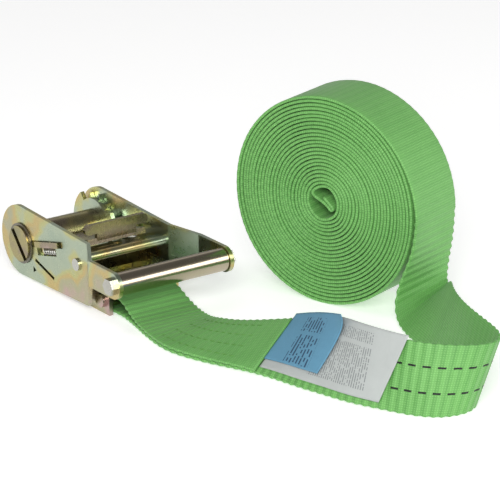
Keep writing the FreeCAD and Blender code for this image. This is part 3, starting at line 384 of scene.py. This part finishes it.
def spring_steel():
    stops = [(0.3, (0.20, 0.19, 0.16)), (0.7, (0.30, 0.27, 0.21))]
    return zinc_material("spring_steel", stops, roughness=0.3)


LINE_SHARE = 0.42  # how much of its pitch a line of print fills
WORD_CUT = 0.44  # the noise level over which there is print


def paper_material(name, tint, ink, strength, tiers, text_span, line_pitch, word_length):
    """A printed leaf: blocks of short bars that stand for lines of print, across the leaf.

    text_span is where the print starts and ends along the leaf; each tier is a pair of distances
    across, from the leaf's middle, between which one column of print lies.
    """
    material, tree, shader = new_material(name)
    along, across = strip_coordinates(tree)
    phase = calculate(tree, "FRACT", calculate(tree, "DIVIDE", along, line_pitch))
    row = calculate(tree, "FLOOR", calculate(tree, "DIVIDE", along, line_pitch))
    on_line = calculate(tree, "LESS_THAN", phase, LINE_SHARE)
    place = tree.nodes.new("ShaderNodeCombineXYZ")
    tree.links.new(calculate(tree, "DIVIDE", across, word_length), place.inputs[0])
    tree.links.new(calculate(tree, "MULTIPLY", row, 7.31), place.inputs[1])
    words = tree.nodes.new("ShaderNodeTexNoise")
    words.inputs["Scale"].default_value = 1.0
    words.inputs["Detail"].default_value = 1.0
    tree.links.new(place.outputs[0], words.inputs["Vector"])
    printed = calculate(tree, "GREATER_THAN", words.outputs["Fac"], WORD_CUT)
    printed = calculate(tree, "MULTIPLY", printed, on_line)
    printed = calculate(
        tree, "MULTIPLY", printed, calculate(tree, "GREATER_THAN", along, text_span[0])
    )
    printed = calculate(
        tree, "MULTIPLY", printed, calculate(tree, "LESS_THAN", along, text_span[1])
    )
    column = 0.0
    for low, high in tiers:
        inside = calculate(
            tree,
            "MULTIPLY",
            calculate(tree, "GREATER_THAN", across, low),
            calculate(tree, "LESS_THAN", across, high),
        )
        column = calculate(tree, "ADD", column, inside)
    printed = calculate(tree, "MULTIPLY", printed, column)
    printed = calculate(tree, "MULTIPLY", printed, strength)
    crumple = noise(tree, 120, 4, 0.6)
    shade = tuple(channel * 0.82 for channel in tint)
    colour = mix_colours(tree, crumple, tint, shade)
    colour = mix_colours(tree, printed, colour, ink)
    tree.links.new(colour, shader.inputs["Base Color"])
    shader.inputs["Roughness"].default_value = 0.55
    bump(tree, shader, crumple, 0.0005, 0.5)
    return material


# ---------------------------------------------------------------- mesh helpers


def mesh_piece(name, points, faces, materials, face_slots=None, coordinates=None):
    """A smooth-shaded mesh object. coordinates holds one (along, across) pair for each point."""
    mesh = bpy.data.meshes.new(name)
    mesh.from_pydata([tuple(point) for point in points], [], faces)
    for material in materials:
        mesh.materials.append(material)
    if face_slots is not None:
        mesh.polygons.foreach_set("material_index", face_slots)
    if coordinates is not None:
        layer = mesh.uv_layers.new(name="strip")
        corners = np.empty(len(mesh.loops), dtype=np.int32)
        mesh.loops.foreach_get("vertex_index", corners)
        layer.data.foreach_set("uv", np.asarray(coordinates, float)[corners].ravel())
    mesh.polygons.foreach_set("use_smooth", [True] * len(mesh.polygons))
    mesh.update()
    piece = bpy.data.objects.new(name, mesh)
    bpy.context.collection.objects.link(piece)
    return piece


def tube(name, line, radius, sides, material):
    """A closed round wire along a line of points."""
    line = np.asarray(line)
    tangents = np.gradient(line, axis=0)
    tangents /= np.linalg.norm(tangents, axis=1)[:, None]
    guide = np.array([0.0, 1.0, 0.0])
    points = []
    for place, tangent in zip(line, tangents):
        first = np.cross(tangent, guide)
        if np.linalg.norm(first) < 0.1:
            first = np.cross(tangent, (1.0, 0.0, 0.0))
        first /= np.linalg.norm(first)
        second = np.cross(tangent, first)
        for step in range(sides):
            angle = 2 * math.pi * step / sides
            points.append(place + radius * (math.cos(angle) * first + math.sin(angle) * second))
    faces = ring_faces(len(line), sides)
    return mesh_piece(name, points, faces, [material])


def ring_faces(count, sides):
    """Quads between rings of points, with a cap at each end."""
    faces = []
    for ring in range(count - 1):
        for step in range(sides):
            beside = (step + 1) % sides
            here, there = ring * sides, (ring + 1) * sides
            faces.append((here + step, here + beside, there + beside, there + step))
    faces.append(tuple(range(sides))[::-1])
    faces.append(tuple((count - 1) * sides + step for step in range(sides)))
    return faces


def natural_spline(knots, places):
    """A smooth curve through the knots, one apart, read at the given places."""
    knots = np.asarray(knots, float)
    count = len(knots)
    system = np.eye(count)
    known = np.zeros_like(knots)
    for index in range(1, count - 1):
        system[index, index - 1 : index + 2] = (1, 4, 1)
        known[index] = 6 * (knots[index - 1] - 2 * knots[index] + knots[index + 1])
    bends = np.linalg.solve(system, known)
    places = np.clip(np.asarray(places, float), 0, count - 1)
    left = np.minimum(places.astype(int), count - 2)
    share = (places - left)[:, None]
    rest = 1 - share
    return (
        rest * knots[left]
        + share * knots[left + 1]
        + ((rest**3 - rest) * bends[left] + (share**3 - share) * bends[left + 1]) / 6
    )


def bezier(corners, count):
    """Points of a cubic curve, without its first."""
    share = np.linspace(0, 1, count + 1)[1:, None]
    rest = 1 - share
    first, second, third, fourth = (np.asarray(corner, float) for corner in corners)
    return (
        rest**3 * first
        + 3 * rest**2 * share * second
        + 3 * rest * share**2 * third
        + share**3 * fourth
    )


# ---------------------------------------------------------------- the strap's line

WEBBING_WIDTH = 35.0
WEBBING_THICKNESS = 1.6
LAYER_PITCH = 1.95
SPOOL_X = -38.0  # the spool's axis; the route's X is measured from it
FINE_STEP = 0.7
COIL_BEARING = math.radians(108.4)
COIL_TURNS = 24.4
COIL_PITCH = 1.917
COIL_TILT = 1.16  # how far the free run stands off the coil where it meets it
FLOOR_TURN = 0.75  # turns from where the free run meets the coil to where the coil touches the floor

# The strap's route, as in the CAD: the lower edge's X, Y from the near edge at the anchor, the
# height over the floor, the tilt of the width from the horizontal and its bearing.
ROUTE = [
    (84.0, 0.0, 1.7, 0.0, 90.0),
    (95.0, -1.5, 1.3, 1.0, 86.0),
    (108.0, -4.1, 1.1, 3.0, 83.0),
    (122.0, -6.5, 1.1, 6.0, 88.0),
    (136.0, -6.9, 1.1, 10.0, 96.0),
    (150.0, -3.7, 1.1, 13.0, 103.0),
    (165.0, 2.0, 1.1, 18.0, 108.0),
    (180.0, 8.5, 1.1, 26.0, 108.0),
    (195.0, 13.3, 1.0, 37.0, 106.0),
    (210.0, 16.7, 0.9, 49.0, 105.0),
    (225.0, 20.9, 0.8, 60.0, 105.0),
    (240.0, 25.7, 0.6, 70.0, 103.0),
    (255.0, 32.7, 0.5, 77.0, 100.0),
    (268.0, 39.5, 0.4, 77.7, 96.6),
    (277.5, 48.0, 0.4, 74.2, 90.8),
    (281.0, 57.5, 0.4, 69.7, 83.0),
    (279.5, 66.5, 0.4, 67.9, 81.4),
    (272.5, 74.0, 0.4, 69.7, 83.0),
    (260.0, 79.0, 0.4, 72.0, 88.1),
    (243.5, 84.5, 0.5, 74.8, 93.4),
    (225.0, 89.4, 0.7, 67.8, 100.9),
    (207.0, 95.1, 0.9, 57.0, 98.0),
    (193.0, 98.1, 1.1, 42.0, 94.0),
    (183.5, 100.5, 2.0, 31.0, 92.0),
    (176.5, 102.5, 4.2, 20.0, 91.0),
    (171.5, 104.7, 8.4, 13.0, 92.0),
    (169.6, 106.9, 14.5, 8.0, 95.0),
    (171.6, 108.9, 24.5, 4.0, 100.0),
    (176.3, 110.8, 38.0, 1.0, 106.0),
    (178.5, 111.7, 54.3, 0.0, 108.4),
]
STATION_STEP = 15  # about how far one row of the route is from the next
SHORT_END = 22 / 3  # places in the route, counted in rows, where things start and stop
LABEL_START = 22.08 / 3
BLUE_END = 30 / 3
WHITE_END = 37 / 3
SEAM_START = 3.0
SEAM_END = 6.7


def route_edges(stations):
    """The lower and upper edge of the free run at these stations, in millimetres."""
    low = []
    high = []
    for x, y, height, lean, bearing in ROUTE:
        corner = np.array([x + SPOOL_X, y - WEBBING_WIDTH / 2, height])
        lean, bearing = math.radians(lean), math.radians(bearing)
        level = math.cos(lean)
        across = (level * math.cos(bearing), level * math.sin(bearing), math.sin(lean))
        low.append(corner)
        high.append(corner + np.array(across) * WEBBING_WIDTH)
    return natural_spline(low, stations), natural_spline(high, stations)


def route_line(start, end, step):
    """Middle points and across directions of the free run, a step apart, and their stations."""
    stations = np.linspace(start, end, max(4, round(abs(end - start) * STATION_STEP / step)))
    low, high = route_edges(stations)
    across = high - low
    across /= np.linalg.norm(across, axis=1)[:, None]
    return (low + high) / 2, across, stations


def distances(middles):
    """How far along its line each point lies."""
    return np.concatenate([[0], np.cumsum(np.linalg.norm(np.diff(middles, axis=0), axis=1))])


def normals(middles, across):
    """The direction of the strap's outer face, which is its upper face at the anchor."""
    along = np.gradient(middles, axis=0)
    out = np.cross(along, across)
    return out / np.linalg.norm(out, axis=1)[:, None]


def coil_line():
    """The coil's line inward from the free run, with the folded inner end across its hole."""
    low, high = (np.array(corner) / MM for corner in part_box("webbing_coil"))
    radius = (high[2] - low[2]) / 2
    axis = np.array([math.cos(COIL_BEARING), math.sin(COIL_BEARING), 0.0])
    sideways = np.array([math.sin(COIL_BEARING), -math.cos(COIL_BEARING), 0.0])
    middle = (low + high) / 2
    angle = 0.0
    flat = []
    shifts = []
    outer = radius - LAYER_PITCH / 2 + FLOOR_TURN * COIL_PITCH
    last = 2 * math.pi * COIL_TURNS
    while angle < last:
        distance = outer - COIL_PITCH * angle / (2 * math.pi)
        distance += COIL_TILT * math.exp(-angle / 0.5)
        distance += 0.10 * math.sin(5.3 * angle) * math.sin(0.71 * angle)
        flat.append((distance * math.cos(angle), distance * math.sin(angle)))
        shifts.append(0.30 * math.sin(0.83 * angle + 1) + 0.22 * math.sin(2.9 * angle))
        fine = angle < 2 * math.pi * 1.15
        angle += (FINE_STEP if fine else min(2.2, 0.16 * distance)) / distance

    # The inner end leaves the last turn, crosses the hole, folds over and runs back.
    start = np.array(flat[-1])
    heading = start - np.array(flat[-2])
    heading /= np.linalg.norm(heading)
    far = -start * 0.62
    inward = far - start * 0.1
    inward /= np.linalg.norm(inward)
    side = np.array([-inward[1], inward[0]])
    fold = far + side * LAYER_PITCH
    tail = fold - inward * 6.5
    flat += list(bezier((start, start + heading * 5.0, start * 0.1 + side * 1.2, far), 14))
    flat += list(bezier((far, far + inward * 1.6, fold + inward * 1.6, fold), 8))
    flat += list(bezier((fold, fold - inward * 2, tail + inward * 2, tail), 6))
    flat = np.array(flat)
    shifts += [shifts[-1]] * (len(flat) - len(shifts))
    middles = middle + flat[:, :1] * sideways + flat[:, 1:] * np.array([0.0, 0.0, 1.0])
    middles = middles + np.array(shifts)[:, None] * axis
    return middles, np.tile(axis, (len(middles), 1))


def loop_line(first, last):
    """The turn round the anchor sleeve, from the short end's last point to the long end's first."""
    low, high = (np.array(corner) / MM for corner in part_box("anchor_sleeve"))
    centre = (low + high) / 2
    radius = (high[2] - low[2]) / 2 + LAYER_PITCH / 2 + 0.15
    places = []
    for point, sign in ((first, 1), (last, -1)):
        reach = point - centre
        spread = math.acos(radius / math.hypot(reach[0], reach[2]))
        places.append(math.atan2(reach[2], reach[0]) + sign * spread)
    start, end = places[0], places[1] + 2 * math.pi
    count = 34
    turn = np.linspace(start, end, count)
    arc = centre + radius * np.stack([np.cos(turn), 0 * turn, np.sin(turn)], axis=1)
    lead = np.linspace(0, 1, 16)[1:-1, None]
    into = first + lead * (arc[0] - first)
    away = arc[-1] + lead * (last - arc[-1])
    middles = np.concatenate([into, arc, away])
    return middles, np.tile([0.0, 1.0, 0.0], (len(middles), 1))


def short_line():
    """The sewn-back short end, from its cut end to the anchor, lying on the long one."""
    middles, across, stations = route_line(0, SHORT_END, FINE_STEP)
    drop = np.clip(1 - stations / 2, 0, 1) ** 2
    rise = LAYER_PITCH + drop * (6.6 - LAYER_PITCH)
    middles = middles + normals(middles, across) * rise[:, None]
    return middles[::-1], across[::-1]


def strap_line():
    """The whole strap's line, and how many of its points come before the loop and the coil."""
    short, short_across = short_line()
    run, run_across, _ = route_line(0, len(ROUTE) - 1, FINE_STEP)
    loop, loop_across = loop_line(short[-1], run[0])
    coil, coil_across = coil_line()
    middles = np.concatenate([short, loop, run, coil])
    across = np.concatenate([short_across, loop_across, run_across, coil_across])
    return middles, across, len(short), len(short) + len(loop) + len(run)


# ---------------------------------------------------------------- webbing

# One face of the strap's section: places across, as shares of the half width, and heights, as
# shares of the half thickness.
SECTION = [
    (-1.0, 0.35),
    (-0.985, 0.8),
    (-0.95, 1.0),
    (-0.72, 0.96),
    (-0.36, 1.0),
    (0.0, 0.97),
    (0.36, 1.0),
    (0.72, 0.96),
    (0.95, 1.0),
    (0.985, 0.8),
    (1.0, 0.35),
]
EDGE_SCALLOP = 0.24  # how far the ribs push the edges in and out
RIB_RISE = 0.16  # the ribs' share of the half thickness
PLAIN_RIBS = 0.3  # the plain face's ribs, as a share of the dashed face's
PUCKER_REACH = 24.0  # the plain face puckers this far before the coil
ANCHOR_REACH = 45.0  # and this far from the anchor
COIL_RIBS = 0.35  # how much of the ribs and scallops is left where the coil presses them flat
HEM_LENGTH = 3.0  # the cut end is thicker over this length
HEM_RISE = 0.15  # by this share


def make_webbing():
    """The whole strap as one closed strip with ribs and scalloped edges."""
    middles, across, anchor_start, coil_start = strap_line()
    out = normals(middles, across)
    along = distances(middles)
    steps = np.gradient(along)
    ribbed = np.clip((1.1 - steps) / 0.3, 0, 1)
    ribbed[coil_start:] *= COIL_RIBS
    wave = np.cos(2 * math.pi * along / RIB_PITCH) * ribbed
    half_width = WEBBING_WIDTH / 2 + EDGE_SCALLOP * wave
    puckered = np.exp(-(((along - along[coil_start] + PUCKER_REACH) / PUCKER_REACH) ** 2))
    hem = np.clip(1 - along / HEM_LENGTH, 0, 1)
    half_thickness = WEBBING_THICKNESS / 2 * (1 + HEM_RISE * hem)
    dashed_half = half_thickness * (1 + RIB_RISE * wave)
    anchored = np.exp(-(((along - along[anchor_start]) / ANCHOR_REACH) ** 2))
    plain_ribs = PLAIN_RIBS + 2 * puckered + 2 * anchored
    plain_half = half_thickness * (1 + RIB_RISE * wave * plain_ribs)
    sides = 2 * len(SECTION)
    points = []
    coordinates = []
    for index in range(len(middles)):
        upper = [(place, height) for place, height in SECTION]
        lower = [(place, -height) for place, height in SECTION[::-1]]
        for place, height in upper + lower:
            shift = place * half_width[index]
            point = middles[index] + across[index] * shift
            half = dashed_half[index] if height > 0 else plain_half[index]
            points.append((point + out[index] * height * half) * MM)
            coordinates.append((along[index], shift))
    faces = ring_faces(len(middles), sides)
    outer_face = [step < len(SECTION) - 1 for step in range(sides)]
    slots = [int(outer_face[step]) for _ in range(len(middles) - 1) for step in range(sides)]
    slots += [0, 0]
    piece = mesh_piece(
        "strap",
        points,
        faces,
        [
            # The plain face is darkened less than the dashed face: painted light for the inside of
            # the bend, painted shade for the up-facing dashed face.
            webbing_material("webbing_plain", ribs=0.35, shade=0.02, dashes=False),
            webbing_material("webbing_dashed", ribs=1.0, shade=0.12, dashes=True),
        ],
        slots,
        coordinates,
    )
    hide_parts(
        "webbing_short_end", "webbing_anchor_loop", "webbing_free_run", "webbing_coil"
    )
    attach(piece, "frame")
    return piece, along[-1]


STITCH_ROWS = (-0.70, -0.24, 0.24, 0.70)  # shares of the half width
STITCH_PITCH = 4.2
STITCH_LENGTH = 3.3
THREAD_RADIUS = 0.22


def make_stitches():
    """Four rows of thread that hold the short end down."""
    middles, across, _ = route_line(SEAM_START, SEAM_END, 0.5)
    out = normals(middles, across)
    along = distances(middles)
    rise = LAYER_PITCH + WEBBING_THICKNESS / 2 + THREAD_RADIUS * 0.35
    points = []
    faces = []
    coordinates = []
    sides = 6
    for row in STITCH_ROWS:
        for start in np.arange(0, along[-1] - STITCH_PITCH, STITCH_PITCH):
            bow = np.linspace(0, 1, 7)
            line = []
            for share in bow:
                place = start + share * STITCH_LENGTH
                centre, side, up = (
                    np.array([np.interp(place, along, part[:, k]) for k in range(3)])
                    for part in (middles, across, out)
                )
                lift = rise + 0.25 * math.sin(math.pi * share) - 0.15
                line.append((centre + side * row * WEBBING_WIDTH / 2 + up * lift, side, up))
            base = len(points)
            for share, (centre, side, up) in zip(bow, line):
                fat = THREAD_RADIUS * (0.45 + 0.55 * math.sin(math.pi * share))
                for step in range(sides):
                    turn = 2 * math.pi * step / sides
                    spot = centre + fat * (math.cos(turn) * side + math.sin(turn) * up)
                    points.append(spot * MM)
                    coordinates.append((share * STITCH_LENGTH, step * 0.2))
            faces += [tuple(base + k for k in face) for face in ring_faces(len(bow), sides)]
    piece = mesh_piece("seam", points, faces, [thread_material()], None, coordinates)
    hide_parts("seam_stitches")
    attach(piece, "frame")
    return piece


# ---------------------------------------------------------------- label

LEAF_THICKNESS = 0.3
LEAF_STEP = 1.0


def make_leaf(name, node, end, skew, span, lift, curl, material):
    """One leaf of the label: a thin sheet over the strap's outer face with a curled free end.

    skew is how much longer the leaf is along its near and its far edge than up to its end, span
    is the shares of the strap's width that it lies between, lift is how far its start stands off
    the strap's middle, and curl gives how much more it rises at a share of its length and width.
    """
    middles, _, _ = route_line(LABEL_START, end, LEAF_STEP)
    length = np.linalg.norm(np.diff(middles, axis=0), axis=1).sum()
    middles, across, _ = route_line(LABEL_START, end + 1, LEAF_STEP)
    out = normals(middles, across)
    along = distances(middles)
    shares = np.linspace(span[0], span[1], 25)
    rows = round(length)
    points = []
    coordinates = []
    width = (span[1] - span[0]) * WEBBING_WIDTH
    for reach in np.linspace(0, 1, rows):
        for share in shares:
            shift = (share - 0.5) * WEBBING_WIDTH
            far = (share - span[0]) / (span[1] - span[0])
            place = reach * (length + skew[0] + (skew[1] - skew[0]) * far)
            middle, side, up = (
                np.array([np.interp(place, along, part[:, k]) for k in range(3)])
                for part in (middles, across, out)
            )
            rise = lift + curl(reach, far)
            points.append((middle + side * shift + up * rise) * MM)
            coordinates.append((place, (far - 0.5) * width))
    count = len(shares)
    faces = []
    for row in range(rows - 1):
        for column in range(count - 1):
            corner = row * count + column
            faces.append((corner, corner + 1, corner + count + 1, corner + count))
    leaf = mesh_piece(name, points, faces, [material], None, coordinates)
    solid = leaf.modifiers.new("thickness", "SOLIDIFY")
    solid.thickness = LEAF_THICKNESS * MM
    solid.offset = 0
    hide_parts(node)
    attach(leaf, "frame")
    longest = length + max(skew)
    mean = length + sum(skew) / 2
    return leaf, (width * MM, longest * MM), width * mean * MM**2


def make_labels():
    base = WEBBING_THICKNESS / 2 + 0.35
    white = paper_material(
        "white_leaf",
        tint=(0.47, 0.50, 0.49),
        ink=(0.07, 0.08, 0.09),
        strength=0.6,
        tiers=[(-13.5, 6.5), (8.5, 14.0)],
        text_span=(30.0, 66.0),
        line_pitch=1.35,
        word_length=1.3,
    )
    blue = paper_material(
        "blue_leaf",
        tint=(0.12, 0.31, 0.46),
        ink=(0.01, 0.03, 0.08),
        strength=0.9,
        tiers=[(-14.0, 2.0), (4.0, 12.0)],
        text_span=(12.0, 30.0),
        line_pitch=2.3,
        word_length=1.9,
    )
    leaves = [
        make_leaf(
            "label_white",
            "label_white_leaf",
            end=WHITE_END,
            skew=(-6.0, 4.0),
            span=(0.10, 1.08),
            lift=base,
            curl=lambda reach, far: 1.6 * reach**3 + 0.9 * reach * far**6,
            material=white,
        ),
        make_leaf(
            "label_blue",
            "label_blue_leaf",
            end=BLUE_END,
            skew=(-5.0, 4.0),
            span=(0.24, 1.10),
            lift=base + 0.75,
            curl=lambda reach, far: 1.0 * reach**3 + 6.0 * (reach * far) ** 8,
            material=blue,
        ),
    ]


# ---------------------------------------------------------------- springs

PAWL_TILT = math.radians(14)
LOCK_TILT = math.radians(-16)
SPRING_WIRE = 0.32  # radius of the wire
PAWL_SPRING_RADIUS = 1.9
PAWL_SPRING_TURNS = 6.5
LOCK_SPRING_RADIUS = 2.2
LOCK_SPRING_TURNS = 7


def coil_spring(name, low, high, radius, turns, material):
    """A compression spring between two points that lie in one XZ plane."""
    low, high = np.array(low), np.array(high)
    axis = (high - low) / np.linalg.norm(high - low)
    side = np.array([0.0, 1.0, 0.0])
    up = np.cross(side, axis)
    shares = np.linspace(0, 1, round(turns * 18))
    dead = 0.10  # closed coils at each end
    advance = np.clip((shares - dead) / (1 - 2 * dead), 0, 1)
    turn = 2 * math.pi * turns * shares
    reach = np.linalg.norm(high - low) - 2 * SPRING_WIRE
    start = low + axis * SPRING_WIRE
    line = start + np.outer(advance * reach, axis)
    ring = radius - SPRING_WIRE
    line = line + ring * (np.outer(np.cos(turn), up) + np.outer(np.sin(turn), side))
    return tube(name, line * MM, SPRING_WIRE * MM, 8, material)


def spring_ends(node, tilt, radius):
    """The two ends of a spring's axis, from its node's box and its tilt, and the box's far Y."""
    low, high = (np.array(corner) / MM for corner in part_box(node))
    middle = (low + high) / 2
    length = (high[0] - low[0] - 2 * radius * abs(math.sin(tilt))) / math.cos(tilt)
    axis = np.array([math.cos(tilt), 0, math.sin(tilt)])
    return middle - axis * length / 2, middle + axis * length / 2, high[1]


def make_springs(material):
    radius = PAWL_SPRING_RADIUS
    front, back, reach = spring_ends("drive_pawl_springs", PAWL_TILT, radius)
    for name, side in (("near", -1), ("far", 1)):
        shift = np.array([0, side * (reach - radius), 0])
        low, high = front + shift, back + shift
        spring = coil_spring(
            f"pawl_spring_{name}", low, high, radius, PAWL_SPRING_TURNS, material
        )
        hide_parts("drive_pawl_springs")
        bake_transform(spring)
    radius = LOCK_SPRING_RADIUS
    front, back, _ = spring_ends("lock_pawl_spring", LOCK_TILT, radius)
    spring = coil_spring("lock_spring", front, back, radius, LOCK_SPRING_TURNS, material)
    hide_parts("lock_pawl_spring")
    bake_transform(spring)


# ---------------------------------------------------------------- steel parts

EDGE_BEVEL = 0.35
BRIGHT_NODES = ("handle_rivets", "grip_bolt", "grip_nut")
# Parts that sit between the side plates and inside the strap's loop; their darker plating is painted
# shade.
SHADED_INNER_NODES = (
    "spool_half_upper",
    "spool_half_lower",
    "drive_pawl",
    "lock_pawl",
    "anchor_sleeve",
)
SPRING_NODES = ("spool_circlip_near", "spool_circlip_far")


def finish_steel(bright):
    """Give every carried-over node its plated material and softly broken edges."""
    yellow = yellow_zinc()
    finishes = {"grip_tube": polished_zinc()}
    finishes |= dict.fromkeys(SHADED_INNER_NODES, shaded_inner_zinc())
    finishes |= dict.fromkeys(SPRING_NODES, spring_steel())
    finishes |= dict.fromkeys(BRIGHT_NODES, bright)
    for name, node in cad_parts.items():
        material = finishes.get(name, yellow)
        for holder in node.material_slots:
            holder.link = "OBJECT"
            holder.material = material
        edge = node.modifiers.new("broken_edges", "BEVEL")
        edge.width = EDGE_BEVEL * MM
        edge.segments = 2
        edge.limit_method = "ANGLE"
        edge.angle_limit = math.radians(40)
        edge.use_clamp_overlap = True


make_camera()
make_stage()
bright = bright_zinc()
finish_steel(bright)
strap, strap_length = make_webbing()
seam = make_stitches()
make_labels()
make_springs(bright)
